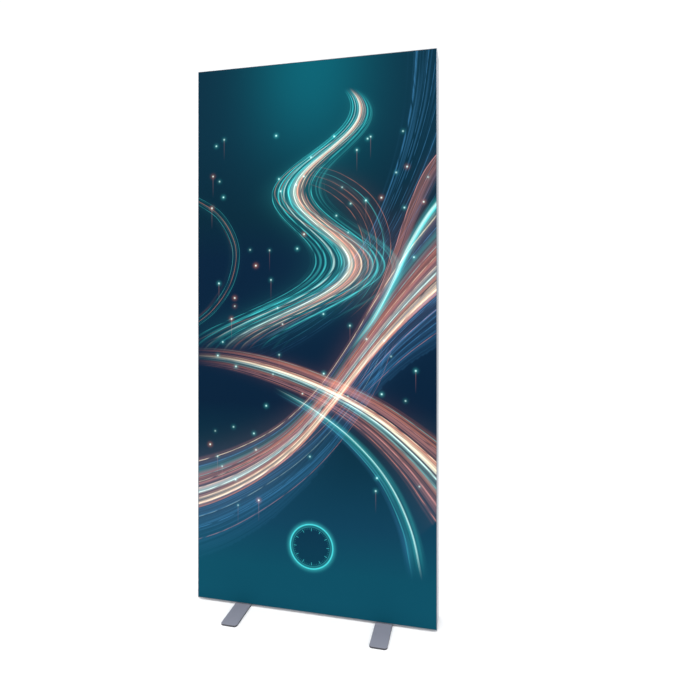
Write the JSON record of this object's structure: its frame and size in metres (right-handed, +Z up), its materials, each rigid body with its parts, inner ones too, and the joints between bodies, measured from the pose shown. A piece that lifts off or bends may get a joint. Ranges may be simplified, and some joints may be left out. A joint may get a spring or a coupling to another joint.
{
  "type": "free-standing textile light box",
  "caption": "Tall free-standing advertising light box: slim aluminium frame with a stretched textile print in front, LED strips on its back wall and flat swivelling steel feet",
  "frame": {"origin": "on the floor under the middle of the light box, the centre of its bounding box's bottom face", "axes": "+Z up along the light box's height, its longest extent; -Y is the front, where the print faces; +X is to the right of someone facing the print; the thickness is along Y"},
  "size_m": [0.9, 0.35, 2.0074],
  "materials": {
    "aluminium": "satin anodised extrusion, fine lengthwise grain",
    "connector_plastic": "light grey moulded nylon",
    "steel": "zinc plated",
    "wall_panel": "white-grey foam board, satin",
    "led_board": "cream-white coated board",
    "driver_case": "grey moulded case",
    "inlet_plastic": "black moulded plastic",
    "lead_sheath": "white-grey PVC sheath",
    "print_textile": "dye-sublimated knitted polyester, stretched",
    "silicone": "translucent white silicone strip",
    "foot_paint": "satin blue-grey powder coat",
    "pad_rubber": "black, matt",
    "washer_nylon": "dark nylon"
  },
  "bodies": {
    "frame": {"back_panel_joint": "aluminium", "back_panel_lower": "wall_panel", "back_panel_upper": "wall_panel", "connector_bottom_left": "connector_plastic", "connector_bottom_left_screw_1": "steel", "connector_bottom_left_screw_2": "steel", "connector_bottom_right": "connector_plastic", "connector_bottom_right_screw_1": "steel", "connector_bottom_right_screw_2": "steel", "connector_top_left": "connector_plastic", "connector_top_left_screw_1": "steel", "connector_top_left_screw_2": "steel", "connector_top_right": "connector_plastic", "connector_top_right_screw_1": "steel", "connector_top_right_screw_2": "steel", "foot_left_nut_plate": "steel", "foot_left_screw": "steel", "foot_left_washer": "washer_nylon", "foot_right_nut_plate": "steel", "foot_right_screw": "steel", "foot_right_washer": "washer_nylon", "lead_bus_to_driver": "lead_sheath", "lead_inlet_to_driver": "lead_sheath", "led_driver": "driver_case", "led_strip_01": "led_board", "led_strip_02": "led_board", "led_strip_03": "led_board", "led_strip_04": "led_board", "led_strip_05": "led_board", "led_strip_06": "led_board", "led_strip_07": "led_board", "led_strip_08": "led_board", "led_strip_09": "led_board", "led_strip_10": "led_board", "led_strip_11": "led_board", "led_strip_12": "led_board", "mains_inlet": "inlet_plastic", "rail_bottom": "aluminium", "rail_left_lower": "aluminium", "rail_left_upper": "aluminium", "rail_right_lower": "aluminium", "rail_right_upper": "aluminium", "rail_top": "aluminium", "splice_left": "steel", "splice_left_screw": "steel", "splice_right": "steel", "splice_right_screw": "steel", "supply_bus_link": "connector_plastic", "supply_bus_lower": "led_board", "supply_bus_upper": "led_board"},
    "print": {"print": "print_textile", "print_edging_bottom": "silicone", "print_edging_left": "silicone", "print_edging_right": "silicone", "print_edging_top": "silicone"},
    "foot_left": {"foot_left_plate": "foot_paint", "foot_left_pad": "pad_rubber"},
    "foot_right": {"foot_right_plate": "foot_paint", "foot_right_pad": "pad_rubber"}
  },
  "joints": [
    {"name": "print_pull_off", "type": "slide", "parent": "frame", "child": "print", "axis": [0, -1, 0], "range_m": [0, 0.3]},
    {"name": "foot_left_swivel", "type": "hinge", "parent": "frame", "child": "foot_left", "pos_m": [-0.265, 0, 0.0038], "axis": [0, 0, 1], "range_deg": [0, 90]},
    {"name": "foot_right_swivel", "type": "hinge", "parent": "frame", "child": "foot_right", "pos_m": [0.265, 0, 0.0038], "axis": [0, 0, 1], "range_deg": [-90, 0]}
  ]
}
